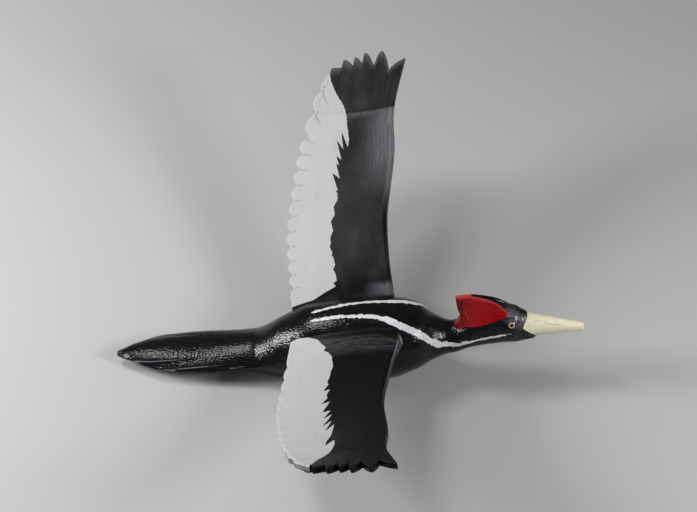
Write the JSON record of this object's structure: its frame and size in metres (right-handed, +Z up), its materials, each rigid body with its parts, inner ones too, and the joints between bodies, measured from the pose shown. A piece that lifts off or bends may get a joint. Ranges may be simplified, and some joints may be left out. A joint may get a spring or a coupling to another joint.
{
  "type": "woodpecker carving",
  "caption": "Painted wood carving of a large crested woodpecker in flight, wings spread, lying on its belly; for a shelf, a wall or a hanging display",
  "frame": {"origin": "on the small flat planed under the belly, on the bird's middle plane; the flat lies in the plane Z = 0", "axes": "+X from the tail to the bill, +Y to the bird's left wing, +Z up from the belly to the back"},
  "size_m": [0.5, 0.6024, 0.1905],
  "materials": {
    "black_paint": "satin black paint on carved wood, white stripes, red crest",
    "wing_paint": "satin black paint on carved wood, off-white rear half on top",
    "ivory_paint": "satin ivory paint on carved wood",
    "eye": "gloss, pale ring round a dark pupil"
  },
  "bodies": {
    "root": {"body": "black_paint", "bill": "ivory_paint", "left_wing": "wing_paint", "right_wing": "wing_paint", "left_eye": "eye", "right_eye": "eye"}
  },
  "joints": []
}
